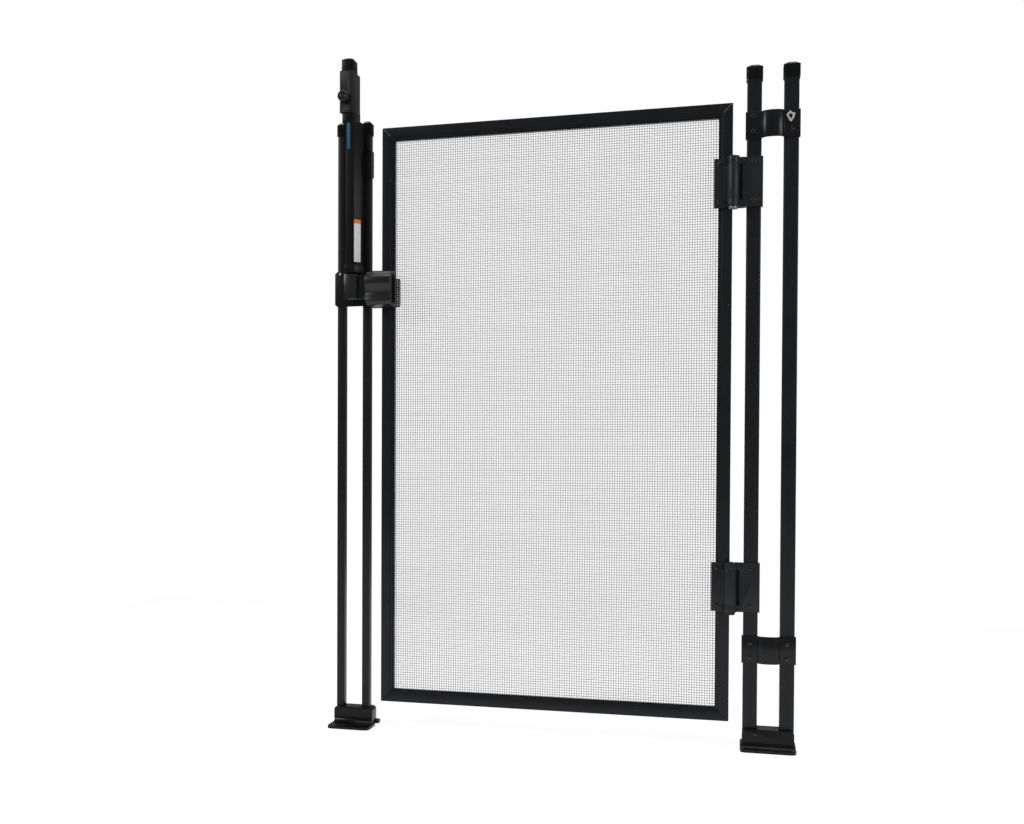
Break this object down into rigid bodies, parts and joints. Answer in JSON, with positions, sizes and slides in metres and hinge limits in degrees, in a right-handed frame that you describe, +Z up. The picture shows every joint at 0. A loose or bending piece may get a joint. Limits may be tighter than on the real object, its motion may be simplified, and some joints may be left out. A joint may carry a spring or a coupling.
{
  "type": "safety baby gate",
  "caption": "Self-closing mesh gate for a removable pool or yard fence: framed screen on spring hinges between post pairs with deck feet and a lift-to-open key latch.",
  "frame": {"origin": "centre of the footprint box at floor level", "axes": "+Z up; +X along the gate from the latch posts to the hinge posts; -Y is the front, the side the gate opens towards"},
  "size_m": [0.866, 0.122, 1.2835],
  "materials": {
    "black_paint": "satin black powder coat",
    "black_plastic": "moulded black plastic, fine texture",
    "satin_plastic": "moulded charcoal plastic, satin",
    "soft_grey_hood": "moulded dark grey plastic",
    "mesh_weave": "open weave of coated polyester strands",
    "bright_steel": "bright zinc plated",
    "black_steel": "black oxide"
  },
  "bodies": {
    "posts": {"cap_hinge_inner": "black_plastic", "cap_hinge_outer": "black_plastic", "cap_latch_inner": "black_plastic", "cap_latch_outer": "black_plastic", "clip_screw": "black_steel", "foot_hinge": "black_paint", "foot_latch": "black_paint", "foot_screw": "black_steel", "hinge_pin_lower": "black_steel", "hinge_pin_upper": "black_steel", "hinge_post_leaf_lower": "satin_plastic", "hinge_post_leaf_upper": "satin_plastic", "hinge_spring_lower": "bright_steel", "hinge_spring_upper": "bright_steel", "latch_collar": "black_plastic", "latch_neck": "black_plastic", "latch_post_plate": "black_plastic", "latch_sleeve": "black_plastic", "latch_upper_clip": "satin_plastic", "link_eye": "bright_steel", "link_strap_lower": "satin_plastic", "link_strap_upper": "satin_plastic", "lock_barrel": "black_steel", "lock_housing": "black_plastic", "post_hinge_inner": "black_paint", "post_hinge_outer": "black_paint", "post_latch_inner": "black_paint", "post_latch_outer": "black_paint", "post_leaf_screw_lower_high": "black_steel", "post_leaf_screw_lower_low": "black_steel", "post_leaf_screw_upper_high": "black_steel", "post_leaf_screw_upper_low": "black_steel", "post_plate_screw": "bright_steel", "release_spring": "bright_steel", "strap_screw_lower_a": "black_steel", "strap_screw_lower_b": "black_steel", "strap_screw_lower_c": "black_steel", "strap_screw_lower_d": "black_steel", "strap_screw_upper_a": "black_steel", "strap_screw_upper_b": "black_steel", "strap_screw_upper_c": "black_steel"},
    "gate": {"gate_leaf_screw_lower_high": "black_steel", "gate_leaf_screw_lower_low": "black_steel", "gate_leaf_screw_upper_high": "black_steel", "gate_leaf_screw_upper_low": "black_steel", "gate_rail_bottom": "black_paint", "gate_rail_top": "black_paint", "gate_stile_hinge": "black_paint", "gate_stile_latch": "black_paint", "hinge_gate_leaf_lower": "satin_plastic", "hinge_gate_leaf_upper": "satin_plastic", "mesh_screen": "mesh_weave", "striker_hood": "soft_grey_hood", "striker_rear_clamp": "black_plastic"},
    "release": {"release_knob": "black_plastic", "release_rod": "bright_steel"},
    "key": {"key_plug": "black_steel"},
    "adjuster_upper": {"tension_adjuster_upper": "bright_steel"},
    "adjuster_lower": {"tension_adjuster_lower": "black_steel"}
  },
  "joints": [
    {"name": "gate_swing", "type": "hinge", "parent": "posts", "child": "gate", "pos_m": [0.3175, -0.018, 0.6], "axis": [0, 0, 1], "range_deg": [0, 100], "stiffness_Nm_per_rad": 1.6, "springref_deg": -60.16},
    {"name": "release_lift", "type": "slide", "parent": "posts", "child": "release", "axis": [0, 0, 1], "range_m": [0, 0.012], "stiffness_N_per_m": 400, "springref_m": -0.01, "deforming": ["release_spring"]},
    {"name": "key_turn", "type": "hinge", "parent": "posts", "child": "key", "pos_m": [-0.4, -0.045, 1.2045], "axis": [0, -1, 0], "range_deg": [0, 90]},
    {"name": "tension_upper_turn", "type": "hinge", "parent": "posts", "child": "adjuster_upper", "pos_m": [0.3175, -0.018, 0.965], "axis": [0, 0, 1], "range_deg": [0, 180]},
    {"name": "tension_lower_turn", "type": "hinge", "parent": "posts", "child": "adjuster_lower", "pos_m": [0.3175, -0.018, 0.245], "axis": [0, 0, 1], "range_deg": [0, 180]}
  ]
}
